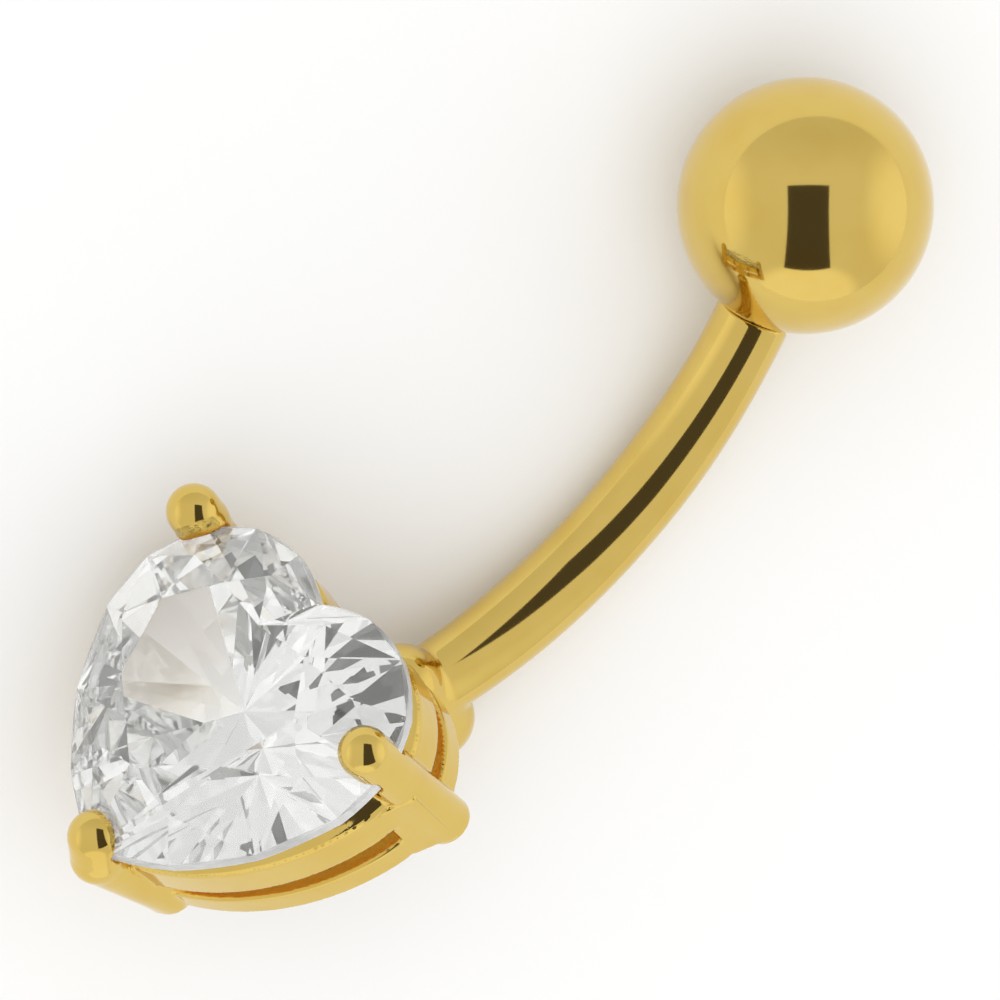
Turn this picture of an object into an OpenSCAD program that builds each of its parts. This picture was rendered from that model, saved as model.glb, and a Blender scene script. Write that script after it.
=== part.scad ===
// Navel ring: a curved bar with a screw-on ball above and a heart stone in a three-prong basket.
//
// All lengths are in millimetres. Every module but the last works in the setting's own frame:
// the girdle plane of the stone is z = 0, +Z leaves the face of the heart, +Y runs from the
// point of the heart to its cleft and on to the ball, and +X is the wearer's left.
// The last module turns the whole ring into the pose in which it lies on a table.

/* [Heart stone] */
// Radius of each lobe of the girdle outline
lobe_radius = 2.4; // [2.2:0.05:2.7]
// Distance of each lobe's centre from the middle plane
lobe_offset = 1.38; // [1.1:0.02:1.7]
// Radius of the long side that runs from a lobe to the point
flank_radius = 5.7; // [5:0.1:7]
// Angle below the lobe's centre at which the long side begins
flank_angle = 18.6; // [10:0.2:26]
// Thickness of the girdle
girdle_height = 0.28; // [0.15:0.01:0.4]
// Height of the table above the girdle
crown_height = 0.95; // [0.6:0.05:1.2]
// Depth of the culet below the girdle
pavilion_depth = 2.6; // [2.2:0.05:2.65]
// Share of the outline that the table takes
table_share = 0.56; // [0.45:0.01:0.65]
// Distance of the culet below the line through the lobe centres
culet_drop = 0.5; // [0.2:0.05:0.9]

/* [Setting] */
// Gap that the stone keeps from the metal
seat_gap = 0.04; // [0.02:0.01:0.08]
// How far the upper rail stands inside the girdle outline
upper_rail_inset = 0.1; // [0.05:0.01:0.2]
// Depth of the upper rail's top below the girdle plane
upper_rail_top = 0.8; // [0.7:0.05:0.95]
// Height of the upper rail
upper_rail_height = 0.88; // [0.6:0.02:1]
// Height of the open slot between the rails
slot_height = 0.52; // [0.3:0.02:0.7]
// How far the lower rail stands inside the girdle outline
lower_rail_inset = 0.16; // [0.1:0.01:0.3]
// Height of the lower rail
lower_rail_height = 0.62; // [0.4:0.02:0.8]
// Width of both rails
rail_width = 0.46; // [0.4:0.01:0.55]

/* [Prongs] */
// Radius of the prong wire
prong_radius = 0.5; // [0.42:0.01:0.52]
// Radius of the round bead at each prong's tip
bead_radius = 0.54; // [0.53:0.01:0.6]
// How far the prong feet pass the back of the lower rail
foot_reach = 0.17; // [0.05:0.01:0.3]
// Point prong: place of its bead above the point of the heart, from the point and the girdle
point_bead = [0.23, 0.15]; // [0.1:0.01:0.4]
// Point prong: its bend beside the girdle, outside the point and below the girdle plane
point_bend = [0.06, 0.35]; // [0.02:0.01:0.45]
// Point prong: how far its foot stands inside the point
point_foot = 0.42; // [0.3:0.02:0.6]
// Left lobe prong: direction from the lobe's centre, above the horizontal
left_angle = 39.3; // [34:0.1:45]
// Left lobe prong: how far its bead's centre stands outside the lobe's outline
left_bead_outset = 0.22; // [0.1:0.02:0.3]
// Left lobe prong: height of its bead's centre above the girdle plane
left_bead_height = 0.35; // [0.2:0.05:0.5]
// Left lobe prong: how far it leans inward down to its foot
left_lean = 0.65; // [0.4:0.05:0.8]
// Right lobe prong: direction of its bead from the lobe's centre, above the horizontal
right_angle = 13.51; // [8:0.01:20]
// Right lobe prong: how far its bead's centre stands inside the lobe's outline
right_bead_inset = 0.302; // [0.2:0.002:0.34]
// Right lobe prong: height of its bead's centre above the girdle plane
right_bead_height = 0.47; // [0.35:0.02:0.55]
// Right lobe prong: direction of its foot from the lobe's centre, above the horizontal
right_foot_angle = 15.91; // [10:0.01:20]
// Right lobe prong: how far its foot stands inside the lobe's outline
right_foot_inset = 0.175; // [0.1:0.005:0.24]
// How far each prong's fin passes below the lower rail
fin_drop = 0.06; // [0.03:0.01:0.12]
// How far each prong's fin rises over the slot
fin_rise = 0.35; // [0.2:0.05:0.6]

/* [Bar] */
// Bar diameter, 14 gauge
bar_d = 1.6; // [1.4:0.05:1.8]
// Radius of the bar's curve, on its centreline
bend_radius = 10.4; // [9:0.1:13]
// Angle of the curve between its lowest point and the setting
lower_sweep = 27.4; // [24:0.2:30]
// Angle of the curve between its lowest point and the ball
upper_sweep = 30.2; // [26:0.2:34]
// Diameter of the slimmer straight end in front of the ball
neck_d = 1.5; // [1.4:0.02:1.56]
// Length of that straight end
neck_length = 0.1; // [0.05:0.05:0.8]
// Depth of the bar's centreline behind the girdle plane where it meets the lug
joint_depth = 4.32; // [4.1:0.02:4.6]
// Radius of the rounded lug behind the cleft
lug_radius = 0.85; // [0.75:0.01:0.95]
// Depth of the lug's round end, at its centre, behind the girdle plane
lug_end_depth = 5.37; // [5.1:0.05:5.6]
// Radius of the post that ties both rails together at the cleft
post_radius = 0.5; // [0.4:0.02:0.55]

/* [Ball] */
// Diameter of the screw-on ball
ball_d = 5; // [4:0.1:6]
// Diameter of the stud that the ball screws onto
stud_d = 1.2; // [1:0.05:1.3]
// Length of the stud
stud_length = 2.4; // [1.8:0.1:2.6]
// Radial clearance between the stud and the hole in the ball
thread_clearance = 0.03; // [0.02:0.01:0.06]
// Room left between the stud's end and the bottom of the hole
bore_room = 0.4; // [0.2:0.05:0.6]
// Gap between the end of the bar and the flat seat on the ball
ball_gap = 0.03; // [0.02:0.01:0.06]
// Width of the ring of flat seat around the bar's end
seat_rim = 0.05; // [0.02:0.01:0.1]

/* [Resting pose] */
// Roll about the ring's length, from the face straight up
lie_roll = -47.57; // [-52:0.01:-40]
// Pitch of the ring's length on the table
lie_pitch = -0.79; // [-4:0.01:2]
// Place of the middle of the ring's footprint, across and along
lie_centre = [0.906, 5.803]; // [-20:0.01:20]

/* [Hidden] */
$fn = 96;
gold = [0.86, 0.74, 0.42];
crystal = [0.9, 0.92, 0.92, 0.6];

// The outline of one half: a lobe arc from the cleft, then a flank arc to the point.
flank_centre = [
    lobe_offset - (flank_radius - lobe_radius) * cos(flank_angle),
    (flank_radius - lobe_radius) * sin(flank_angle)
];
cleft_y = sqrt(lobe_radius * lobe_radius - lobe_offset * lobe_offset);
point_y = flank_centre[1] - sqrt(flank_radius * flank_radius - flank_centre[0] * flank_centre[0]);
far = 20;

// Facets of the stone: stations from the cleft to the point on each half, the odd ones between
// main facets, and the girdle is divided further so that it follows the round outline.
stations = 8;
lobe_stations = 5;
girdle_steps = 4;
star_share = table_share + 0.48 * (1 - table_share);
star_rise = 0.62;
lower_share = 0.22;
lower_drop = 0.8;
ring_count = 2 * stations;
girdle_count = ring_count * girdle_steps;

// Levels of the rails, measured up from the girdle plane.
upper_top_z = -upper_rail_top;
upper_bottom_z = upper_top_z - upper_rail_height;
lower_top_z = upper_bottom_z - slot_height;
lower_bottom_z = lower_top_z - lower_rail_height;
foot_z = lower_bottom_z - foot_reach;

// Bar: one arc about bend_centre, then a short straight end toward the ball.
joint_y = cleft_y - 0.05;
bend_centre = [
    joint_y + bend_radius * sin(lower_sweep),
    -joint_depth + bend_radius * cos(lower_sweep)
];
arc_end = bend_centre + bend_radius * [sin(upper_sweep), -cos(upper_sweep)];
bar_end = arc_end + neck_length * [cos(upper_sweep), sin(upper_sweep)];
neck_root = 0.4;
seat_radius = neck_d / 2 + seat_rim;
seat_height = sqrt(ball_d * ball_d / 4 - seat_radius * seat_radius);
ball_reach = ball_gap + seat_height;
ball_centre = bar_end + ball_reach * [cos(upper_sweep), sin(upper_sweep)];

// Height of a point of the middle plane over the frame's origin once the ring is turned to lie down.
function height_in_pose(y, z) = y * sin(lie_pitch) + z * cos(lie_roll) * cos(lie_pitch);

// Point of the right half outline, u = 0 at the cleft and u = 1 at the point.
function lobe_angle(u, r) =
    let (from = 180 - acos(lobe_offset / r), share = lobe_stations / stations)
    from - (from + flank_angle) * u / share;
function flank_angle_at(u, r) =
    let (share = lobe_stations / stations, to = -acos(-flank_centre[0] / r))
    -flank_angle + (to + flank_angle) * (u - share) / (1 - share);
function half_point(u, grow) =
    u <= lobe_stations / stations
    ? let (r = lobe_radius + grow, a = lobe_angle(u, r))
        [lobe_offset + r * cos(a), r * sin(a)]
    : let (r = flank_radius + grow, a = flank_angle_at(u, r))
        [flank_centre[0] + r * cos(a), flank_centre[1] + r * sin(a)];

// Point i of a ring of count points: down the right half, then up the left half.
function outline_point(i, count, grow) =
    let (u = 2 * i / count)
    u <= 1 ? half_point(u, grow)
    : let (p = half_point(2 - u, grow)) [-p[0], p[1]];
function shrunk(i, share, grow) =
    let (c = [0, -culet_drop])
    c + share * (outline_point(i, ring_count, grow) - c);

// Height at p of the plane through a, b and c.
function plane_height(p, a, b, c) =
    let (n = cross(b - a, c - a))
    a[2] - (n[0] * (p[0] - a[0]) + n[1] * (p[1] - a[1])) / n[2];

// Corners of the stone: tables at even stations, stars and lower breaks at odd ones.
function table_corner(k, grow) =
    let (p = shrunk(2 * k, table_share, grow)) [p[0], p[1], crown_height + grow];
function star_corner(k, grow) =
    let (p = shrunk(2 * k + 1, star_share, grow)) [p[0], p[1], star_rise * crown_height + grow];
function lower_corner(k, grow) =
    let (p = shrunk(2 * k + 1, lower_share, grow))
    [p[0], p[1], -girdle_height - lower_drop * pavilion_depth - grow];
function girdle_corner(i, z, grow) =
    let (p = outline_point(i, ring_count, grow)) [p[0], p[1], z];

// A girdle edge point takes the height of the flat facet that it bounds.
function girdle_edge(j, z, upper, grow) =
    let (
        p = outline_point(j, girdle_count, grow),
        s = floor(j / girdle_steps),
        k = floor(s / 2),
        a = girdle_corner(s, z, grow),
        b = girdle_corner((s + 1) % ring_count, z, grow),
        apex = upper ? star_corner(k, grow) : lower_corner(k, grow)
    )
    [p[0], p[1], j % girdle_steps == 0 ? z : plane_height(p, a, b, apex)];

module stone_solid(grow) {
    half = ring_count / 2;
    points = concat(
        [for (k = [0:half - 1]) table_corner(k, grow)],
        [for (k = [0:half - 1]) star_corner(k, grow)],
        [for (j = [0:girdle_count - 1]) girdle_edge(j, grow, true, grow)],
        [for (j = [0:girdle_count - 1]) girdle_edge(j, -girdle_height - grow, false, grow)],
        [for (k = [0:half - 1]) lower_corner(k, grow)],
        [[0, -culet_drop, -girdle_height - pavilion_depth - grow]]
    );
    star = half;
    top = 2 * half;
    bottom = top + girdle_count;
    lower = bottom + girdle_count;
    culet = lower + half;
    span = 2 * girdle_steps;
    faces = concat(
        [[for (k = [0:half - 1]) k]],
        [for (k = [0:half - 1]) [k, star + k, (k + 1) % half]],
        [for (k = [0:half - 1]) [k, top + k * span, star + k]],
        [for (k = [0:half - 1]) [k, star + (k + half - 1) % half, top + k * span]],
        [for (k = [0:half - 1]) concat(
            [star + k],
            [for (j = [0:girdle_steps]) top + k * span + j]
        )],
        [for (k = [0:half - 1]) concat(
            [star + k],
            [for (j = [girdle_steps:span]) top + (k * span + j) % girdle_count]
        )],
        [for (j = [0:girdle_count - 1])
            let (n = (j + 1) % girdle_count)
            [top + j, bottom + j, bottom + n, top + n]],
        [for (k = [0:half - 1]) concat(
            [for (j = [girdle_steps:-1:0]) bottom + k * span + j],
            [lower + k]
        )],
        [for (k = [0:half - 1]) concat(
            [for (j = [span:-1:girdle_steps]) bottom + (k * span + j) % girdle_count],
            [lower + k]
        )],
        [for (k = [0:half - 1]) [culet, lower + k, bottom + k * span]],
        [for (k = [0:half - 1]) [culet, bottom + k * span, lower + (k + half - 1) % half]]
    );
    polyhedron(points, faces);
}

// Half of the heart outline, moved inward by inset.
module half_heart(inset) {
    split_y = lobe_offset * tan(flank_angle);
    intersection() {
        translate([0, -far]) square([far, 2 * far]);
        union() {
            translate([lobe_offset, 0]) circle(r = lobe_radius - inset);
            intersection() {
                translate(flank_centre) circle(r = flank_radius - inset);
                polygon([[0, split_y], [far, split_y - far * tan(flank_angle)], [far, -far], [0, -far]]);
            }
        }
    }
}

module heart_plate(inset) {
    half_heart(inset);
    mirror([1, 0]) half_heart(inset);
}

// A rail is a heart-shaped band between two levels.
module rail(bottom, height, inset) {
    translate([0, 0, bottom]) difference() {
        linear_extrude(height) heart_plate(inset);
        translate([0, 0, -height]) linear_extrude(3 * height) heart_plate(inset + rail_width);
    }
}

// A round rod between two points.
module rod(from, to, radius) {
    d = to - from;
    length = norm(d);
    translate(from)
        rotate([0, acos(d[2] / length), atan2(d[1], d[0])])
        cylinder(h = length, r = radius);
}

// A straight prong runs from its foot to the round bead over the stone.
module straight_prong(foot, bead) {
    rod(foot, bead, prong_radius);
    translate(bead) sphere(r = bead_radius);
}

// A bent prong passes a bend beside the girdle on its way to its bead.
module prong(foot, bend, bead) {
    rod(foot, bend, prong_radius);
    translate(bend) sphere(r = (prong_radius + bead_radius) / 2);
    rod(bend, bead, prong_radius);
    translate(bead) sphere(r = bead_radius);
}

// A fin is a flat-sided web from a prong's outer ridge to the rails.
module fin(foot, ridge, toe, root) {
    translate([foot[0], foot[1], lower_bottom_z - fin_drop])
        linear_extrude(upper_bottom_z - lower_bottom_z + fin_drop + fin_rise)
        polygon([[0, 0], ridge, toe, root]);
}

// Feet, bends and beads of the three prongs.
point_prong = [
    [0, point_y + point_foot, foot_z],
    [0, point_y - point_bend[0], -point_bend[1]],
    [0, point_y + point_bead[0], point_bead[1]]
];
left_way = [-cos(left_angle), sin(left_angle)];
left_top = [-lobe_offset, 0] + (lobe_radius + left_bead_outset) * left_way;
left_base = left_top - left_lean * left_way;
left_prong = [
    [left_base[0], left_base[1], foot_z],
    [left_top[0], left_top[1], left_bead_height] - 0.1 * [left_way[0], left_way[1], 5] * left_lean,
    [left_top[0], left_top[1], left_bead_height]
];
right_top = [lobe_offset, 0]
    + (lobe_radius - right_bead_inset) * [cos(right_angle), sin(right_angle)];
right_base = [lobe_offset, 0]
    + (lobe_radius - right_foot_inset) * [cos(right_foot_angle), sin(right_foot_angle)];
right_prong = [
    [right_base[0], right_base[1], foot_z],
    [right_top[0], right_top[1], right_bead_height]
];

module prongs() {
    prong(point_prong[0], point_prong[1], point_prong[2]);
    prong(left_prong[0], left_prong[1], left_prong[2]);
    straight_prong(right_prong[0], right_prong[1]);
    fin(right_prong[0], [prong_radius, -0.1], [0.1, -0.85], [-0.3, -0.75]);
    fin(left_prong[0], [-prong_radius, 0.1], [-0.45, -0.9], [0, -0.9]);
    for (side = [-1, 1])
        fin(point_prong[0], [side * 0.1, -prong_radius], [side * 0.8, 0.3], [side * 0.5, 0.6]);
}

// The curve of the bar, in the middle plane.
module bar_arc() {
    translate([0, bend_centre[0], bend_centre[1]])
        rotate([90, 0, 90])
        rotate([0, 0, -90 - lower_sweep])
        rotate_extrude(angle = lower_sweep + upper_sweep)
        translate([bend_radius, 0])
        circle(d = bar_d);
}

// Moves a piece that stands on +Z to a point of the bar's straight line.
module on_bar_line(start) {
    translate([0, start[0], start[1]]) rotate([upper_sweep - 90, 0, 0]) children();
}

module bar() {
    bar_arc();
    on_bar_line(bar_end) {
        translate([0, 0, -neck_length - neck_root])
            cylinder(h = neck_length + neck_root, d = neck_d);
        translate([0, 0, -neck_root]) cylinder(h = stud_length + neck_root, d = stud_d);
    }
}

// The rounded lug behind the cleft carries the bar, and a post ties both rails to it.
module lug() {
    back = [0, joint_y, -lug_end_depth];
    front = [0, joint_y, lower_bottom_z - lug_radius + 0.1];
    rod(back, front, lug_radius - 0.02);
    translate(back) sphere(r = lug_radius);
    translate(front) sphere(r = lug_radius);
}

module post() {
    translate([0, joint_y - 0.15, lower_bottom_z - 0.4])
        cylinder(h = upper_top_z - 0.1 - lower_bottom_z + 0.4, r = post_radius);
}

// Cuts the stone's seat, with its gap, out of the pieces that reach it.
module seated() {
    difference() {
        children();
        stone_solid(seat_gap);
    }
}

module bar_and_setting() {
    color(gold) in_pose() union() {
        seated() union() {
            rail(upper_bottom_z, upper_rail_height, upper_rail_inset);
            post();
        }
        rail(lower_bottom_z, lower_rail_height, lower_rail_inset);
        lug();
        bar();
        seated() prongs();
    }
}

module heart_stone() {
    color(crystal) in_pose() stone_solid(0);
}

// The ball is solid, with a flat seat and a blind hole for the stud.
module ball() {
    color(gold) in_pose() on_bar_line(ball_centre) difference() {
        sphere(d = ball_d);
        translate([0, 0, -seat_height - ball_d]) cylinder(h = ball_d, d = ball_d);
        translate([0, 0, -seat_height - ball_d])
            cylinder(
                h = ball_d + stud_length - ball_gap + bore_room,
                r = stud_d / 2 + thread_clearance
            );
    }
}

// Lays the ring on the table: turned by the two angles, with the ball touching the table.
module in_pose() {
    lift = ball_d / 2 - height_in_pose(ball_centre[0], ball_centre[1]);
    translate([-lie_centre[0], -lie_centre[1], lift])
        rotate([lie_pitch, 0, 0])
        rotate([0, lie_roll, 0])
        children();
}

bar_and_setting();
heart_stone();
ball();
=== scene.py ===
"""Studio scene of a navel ring: curved gold bar, screw-on ball, heart stone in a pronged basket.

The metal is modelled in the setting's own frame, in millimetres: the girdle plane of the stone is
z = 0, +Z leaves the face of the heart, +Y runs from the point of the heart to the ball, and +X is
the right side seen from the front. Pose turns those points into the frame of the model, in metres.
"""

import logging
import math
from dataclasses import dataclass
from enum import Enum
from typing import Any, Callable, Sequence

import bpy
import numpy as np
from mathutils import Matrix, Vector

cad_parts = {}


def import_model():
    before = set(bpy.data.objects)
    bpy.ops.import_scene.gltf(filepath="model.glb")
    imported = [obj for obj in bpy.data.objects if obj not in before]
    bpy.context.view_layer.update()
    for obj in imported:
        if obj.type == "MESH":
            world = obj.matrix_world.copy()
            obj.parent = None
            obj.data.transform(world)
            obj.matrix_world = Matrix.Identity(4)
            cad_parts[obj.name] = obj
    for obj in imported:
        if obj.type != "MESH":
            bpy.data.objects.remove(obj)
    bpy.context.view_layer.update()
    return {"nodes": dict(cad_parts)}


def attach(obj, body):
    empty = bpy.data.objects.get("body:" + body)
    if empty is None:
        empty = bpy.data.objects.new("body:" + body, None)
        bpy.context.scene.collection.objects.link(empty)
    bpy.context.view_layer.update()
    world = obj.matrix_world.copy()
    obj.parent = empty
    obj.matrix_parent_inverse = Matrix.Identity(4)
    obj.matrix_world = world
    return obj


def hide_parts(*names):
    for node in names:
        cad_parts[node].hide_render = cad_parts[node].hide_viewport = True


LOG = logging.getLogger("navel_ring")
Points = np.ndarray
Distances = np.ndarray
Place = tuple[float, float, float]
Colour = tuple[float, float, float, float]
Pair = tuple[float, float]
MM = 0.001  # metres per millimetre
TINY = 1e-12  # keeps divisors off zero
SLIVER = 1e-9  # a normal shorter than this has no direction
POLE_RADIUS = 1e-6  # radius of a turned piece where it ends on its line


class Body(Enum):
    """The rigid bodies that pieces ride on."""

    RING = "ring"
    BALL = "screw_ball"


class Slot(Enum):
    """Names of two material slots, which nothing in this script uses."""

    SETTING = "setting_gold"
    BALL = "ball_gold"


# -------- frame and distances


@dataclass(frozen=True)
class Pose:
    """How the ring lies on the table: the turn and the shift from the setting's frame."""

    roll: float = -47.57
    pitch: float = -0.79
    shift: Place = (-0.906, -5.803, 4.5956)

    def turn(self) -> np.ndarray:
        """Rotation from the setting's frame to the model's frame.

        Returns:
            A 3 by 3 matrix.
        """
        b, a = math.radians(self.roll), math.radians(self.pitch)
        about_y = np.array([[math.cos(b), 0, math.sin(b)],
                            [0, 1, 0],
                            [-math.sin(b), 0, math.cos(b)]])
        about_x = np.array([[1, 0, 0],
                            [0, math.cos(a), -math.sin(a)],
                            [0, math.sin(a), math.cos(a)]])
        return about_x @ about_y

    def place(self, points: Points) -> Points:
        """Turns points in millimetres into the model's frame in metres."""
        return (np.asarray(points, float) @ self.turn().T + np.array(self.shift)) * MM

    def direction(self, vectors: Points) -> Points:
        """Turns directions into the model's frame."""
        return np.asarray(vectors, float) @ self.turn().T

    def back(self, points: Points) -> Points:
        """Turns points of the model's frame, in metres, into the setting's frame in millimetres."""
        return (np.asarray(points, float) / MM - np.array(self.shift)) @ self.turn()


def meet(a: Distances, b: Distances, radius: float) -> Distances:
    """Intersection of two solids whose common edge is rounded.

    Args:
        a: Signed distances to the first solid.
        b: Signed distances to the second solid.
        radius: Radius of the rounded edge.

    Returns:
        Signed distances to what both solids share.
    """
    u, v = np.maximum(a + radius, 0), np.maximum(b + radius, 0)
    return np.minimum(np.maximum(a, b), -radius) + np.sqrt(u * u + v * v)


def join(a: Distances, b: Distances, radius: float) -> Distances:
    """Union of two solids with a fillet of the given radius where they meet."""
    u, v = np.maximum(radius - a, 0), np.maximum(radius - b, 0)
    return np.maximum(np.minimum(a, b), radius) - np.sqrt(u * u + v * v)


def ramp(values: np.ndarray, start: float, length: float) -> np.ndarray:
    """Rises from 0 at the start to 1 after the length."""
    return np.clip((values - start) / length, 0, 1)


def rod(p: Points, start: Sequence[float], end: Sequence[float], radius: float) -> Distances:
    """Signed distances to a rod with round ends.

    Args:
        p: Points, one per row.
        start: First end of the rod's axis.
        end: Second end of the rod's axis.
        radius: Radius of the rod.

    Returns:
        One signed distance per point.
    """
    a, b = np.array(start, float), np.array(end, float)
    along = np.clip((p - a) @ (b - a) / ((b - a) @ (b - a)), 0, 1)
    return np.linalg.norm(p - a - along[:, None] * (b - a), axis=1) - radius


def flat_polygon(xy: Points, corners: Sequence[Sequence[float]]) -> Distances:
    """Signed distances in the plane to a polygon.

    Args:
        xy: Points in the plane, one per row.
        corners: The polygon's corners in order.

    Returns:
        One signed distance per point.
    """
    best = np.full(len(xy), np.inf)
    inside = np.zeros(len(xy), bool)
    for i, tip in enumerate(corners):
        a, b = np.array(tip, float), np.array(corners[i - 1], float)
        edge, w = b - a, xy - a
        along = np.clip(w @ edge / (edge @ edge), 0, 1)
        best = np.minimum(best, np.sum((w - along[:, None] * edge) ** 2, axis=1))
        crosses = (a[1] > xy[:, 1]) != (b[1] > xy[:, 1])
        rise = edge[1] if abs(edge[1]) > TINY else TINY
        inside ^= crosses & (xy[:, 0] < a[0] + (xy[:, 1] - a[1]) * edge[0] / rise)
    return np.where(inside, -1, 1) * np.sqrt(best)


# -------- meshes


def link(name: str, data: bpy.types.ID) -> bpy.types.Object:
    """Makes an object and links it to the scene.

    Args:
        name: Name of the object.
        data: Its mesh, light or camera.

    Returns:
        The object.
    """
    made = bpy.data.objects.new(name, data)
    bpy.context.scene.collection.objects.link(made)
    return made


def every_cell(counts: Sequence[int]) -> np.ndarray:
    """Numbers of all cells of a block, one per row."""
    grids = np.meshgrid(*[np.arange(count) for count in counts], indexing="ij")
    return np.stack(grids, -1).reshape(-1, 3)


@dataclass
class Surface:
    """A mesh in the setting's frame: points, faces, and what each point carries."""

    points: Points
    faces: np.ndarray
    normals: Points
    crevice: np.ndarray | None = None

    def build(self, name: str, pose: Pose) -> bpy.types.Object:
        """Makes the Blender object with exact shading normals.

        Args:
            name: Name of the object.
            pose: How the ring lies on the table.

        Returns:
            The linked object.
        """
        mesh = bpy.data.meshes.new(name)
        count, corners = self.faces.shape
        mesh.vertices.add(len(self.points))
        mesh.vertices.foreach_set("co", pose.place(self.points).astype(np.float32).ravel())
        mesh.loops.add(count * corners)
        mesh.loops.foreach_set("vertex_index", self.faces.astype(np.int32).ravel())
        mesh.polygons.add(count)
        starts = np.arange(0, count * corners, corners, dtype=np.int32)
        mesh.polygons.foreach_set("loop_start", starts)
        mesh.update(calc_edges=True)
        mesh.polygons.foreach_set("use_smooth", np.ones(count, bool))
        mesh.normals_split_custom_set_from_vertices(pose.direction(self.normals).tolist())
        if self.crevice is not None:
            layer = mesh.attributes.new("crevice", "FLOAT", "POINT")
            layer.data.foreach_set("value", self.crevice.astype(np.float32))
        mesh.validate()
        return link(name, mesh)


@dataclass
class Caster:
    """Turns a signed distance into a mesh of even quads that lies exactly on the surface."""

    distance: Callable[[Points], Distances]
    low: Place
    high: Place
    step: float = 0.065
    block: int = 8
    batch: int = 256
    reach_share: float = 1.2
    reach_more: float = 0.15
    probe: float = 0.004
    passes: int = 3

    def sample(self) -> tuple[np.ndarray, np.ndarray]:
        """Evaluates the distance on a grid, in full only near the surface.

        Returns:
            The grid of values and the grid's lowest corner.
        """
        low = np.array(self.low, float)
        size = self.step * self.block
        blocks = np.ceil((np.array(self.high) - low) / size).astype(int)
        values = np.ones(blocks * self.block + 1, np.float32)
        index = every_cell(blocks)
        middle = self.distance(low + (index + 0.5) * size)
        reach = size * math.sqrt(3) / 2 * self.reach_share + self.reach_more
        for i, j, k in index[middle < -reach] * self.block:
            values[i:i + self.block + 1, j:j + self.block + 1, k:k + self.block + 1] = -1
        inner = every_cell([self.block + 1] * 3)
        near = index[np.abs(middle) <= reach] * self.block
        for first in range(0, len(near), self.batch):
            cells = (near[first:first + self.batch, None, :] + inner[None]).reshape(-1, 3)
            values[cells[:, 0], cells[:, 1], cells[:, 2]] = self.distance(low + cells * self.step)
        return values, low

    def gradient(self, points: Points) -> Points:
        """Directions in which the distance grows.

        Args:
            points: Places, one per row.

        Returns:
            One unit vector per point.
        """
        parts = [self.distance(points + offset) - self.distance(points - offset)
                 for offset in self.probe * np.eye(3)]
        slope = np.stack(parts, -1)
        return slope / np.maximum(np.linalg.norm(slope, axis=1, keepdims=True), TINY)

    def mesh(self) -> Surface:
        """Casts the surface and moves its points onto the true surface.

        Returns:
            The closed surface.
        """
        values, low = self.sample()
        inside = values < 0
        shape = np.array(values.shape) - 1
        corner = [np.array(c) for c in np.ndindex(2, 2, 2)]
        total = sum(inside[tuple(map(slice, c, c + shape))].astype(np.int8) for c in corner)
        cells = np.argwhere((total > 0) & (total < 8))
        number = np.full(shape, -1, np.int64)
        number[tuple(cells.T)] = np.arange(len(cells))
        points, hits = np.zeros((len(cells), 3)), np.zeros(len(cells))
        for c in corner:
            for axis in range(3):
                if c[axis]:
                    continue
                d = c.copy()
                d[axis] = 1
                a, b = values[tuple((cells + c).T)], values[tuple((cells + d).T)]
                cut = (a < 0) != (b < 0)
                share = a[cut] / (a[cut] - b[cut])
                points[cut] += c + share[:, None] * (d - c)
                hits[cut] += 1
        points = low + (cells + points / hits[:, None]) * self.step
        faces = []
        for axis in range(3):
            u, v = (axis + 1) % 3, (axis + 2) % 3
            ahead, behind = [slice(None)] * 3, [slice(None)] * 3
            ahead[axis], behind[axis] = slice(1, None), slice(None, -1)
            a, b = inside[tuple(behind)], inside[tuple(ahead)]
            edges = np.argwhere(a != b)
            keep = (edges[:, u] > 0) & (edges[:, v] > 0)
            keep &= (edges[:, u] < shape[u]) & (edges[:, v] < shape[v])
            edges = edges[keep]
            outward = a[tuple(edges.T)]
            ring = []
            for du, dv in ((1, 1), (0, 1), (0, 0), (1, 0)):
                cell = edges.copy()
                cell[:, u] -= du
                cell[:, v] -= dv
                ring.append(number[tuple(cell.T)])
            quad = np.stack(ring, -1)
            quad[~outward] = quad[~outward][:, ::-1]
            faces.append(quad)
        for _ in range(self.passes):
            normal = self.gradient(points)
            move = np.clip(self.distance(points), -self.step, self.step)
            points = points - move[:, None] * normal
        return Surface(points, np.concatenate(faces), self.gradient(points))


# -------- the ring's shapes


@dataclass
class HeartOutline:
    """Outline of the stone's girdle: a lobe arc and a flank arc on each half."""

    lobe_radius: float = 2.4
    lobe_offset: float = 1.38
    flank_radius: float = 5.7
    flank_angle: float = 18.6

    @property
    def split(self) -> np.ndarray:
        """Unit vector from the lobe's centre along the line where the two arcs meet."""
        a = math.radians(-self.flank_angle)
        return np.array([math.cos(a), math.sin(a)])

    @property
    def flank_centre(self) -> np.ndarray:
        """Centre of the right flank's arc."""
        return np.array([self.lobe_offset, 0]) - (self.flank_radius - self.lobe_radius) * self.split

    @property
    def point_y(self) -> float:
        """Height of the heart's point on the middle plane."""
        centre = self.flank_centre
        return centre[1] - math.sqrt(self.flank_radius ** 2 - centre[0] ** 2)

    def distance(self, p: Points) -> Distances:
        """Distances in plan to the outline.

        Args:
            p: Points, one per row.

        Returns:
            One signed distance per point.
        """
        xy = np.stack([np.abs(p[:, 0]), p[:, 1]], -1)
        from_lobe = xy - np.array([self.lobe_offset, 0])
        above = self.split[0] * from_lobe[:, 1] - self.split[1] * from_lobe[:, 0] > 0
        lobe = np.linalg.norm(from_lobe, axis=1) - self.lobe_radius
        flank = np.linalg.norm(xy - self.flank_centre, axis=1) - self.flank_radius
        return np.where(above, lobe, flank)


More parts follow.
